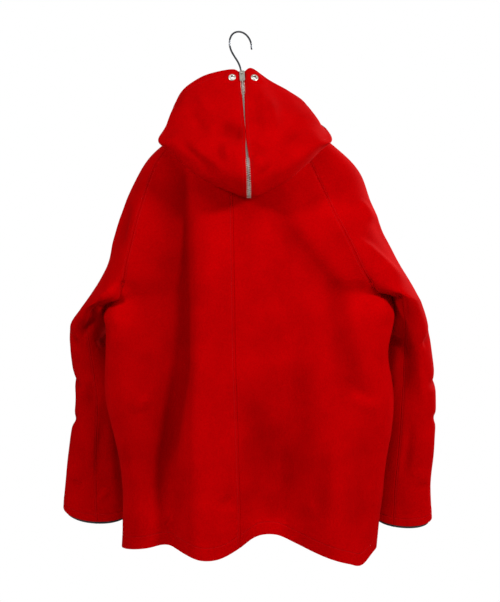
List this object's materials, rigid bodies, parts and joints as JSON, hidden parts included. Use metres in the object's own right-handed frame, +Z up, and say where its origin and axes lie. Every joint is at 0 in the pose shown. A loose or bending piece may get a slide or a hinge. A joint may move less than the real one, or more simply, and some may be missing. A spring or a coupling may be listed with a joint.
{
  "type": "fireman coat on its hanger",
  "caption": "Hooded wool coat with raglan sleeves, a zip down the middle of the hood and metal front clasps, hanging on a plain hanger with a wire hook.",
  "frame": {"origin": "inside of the top of the hanger's hook, where it rests on a rail", "axes": "+Z up, -Y out of the coat's front, +X towards the wearer's left"},
  "size_m": [0.7231, 0.2872, 0.9999],
  "materials": {
    "melton": "thick felted wool with a soft nap, matt",
    "tape": "woven zip tape, matt",
    "lining": "dark woven lining, matt",
    "nickel": "polished nickel plate",
    "steel": "bright drawn steel wire",
    "hanger": "plain matt"
  },
  "bodies": {
    "coat": {"back_left": "melton", "back_right": "melton", "clasp_hook_1": "nickel", "clasp_hook_2": "nickel", "clasp_hook_3": "nickel", "clasp_hook_4": "nickel", "clasp_ring_1": "nickel", "clasp_ring_2": "nickel", "clasp_ring_3": "nickel", "clasp_ring_4": "nickel", "cuff_lining_left": "lining", "cuff_lining_right": "lining", "eyelet_left": "nickel", "eyelet_right": "nickel", "front_left": "melton", "front_right": "melton", "hanger_body": "hanger", "hanger_hook": "steel", "hood_left": "melton", "hood_right": "melton", "sleeve_left_top": "melton", "sleeve_left_under": "melton", "sleeve_right_top": "melton", "sleeve_right_under": "melton", "zip_chain": "nickel", "zip_slider": "nickel", "zip_tape": "tape"},
    "pull_tab": {"zip_pull": "nickel"}
  },
  "joints": [
    {"name": "zip_pull_swing", "type": "hinge", "parent": "coat", "child": "pull_tab", "pos_m": [-0.00844, 0.02728, -0.08117], "axis": [0.9964, -0.0276, -0.0796], "range_deg": [0, 135]}
  ]
}
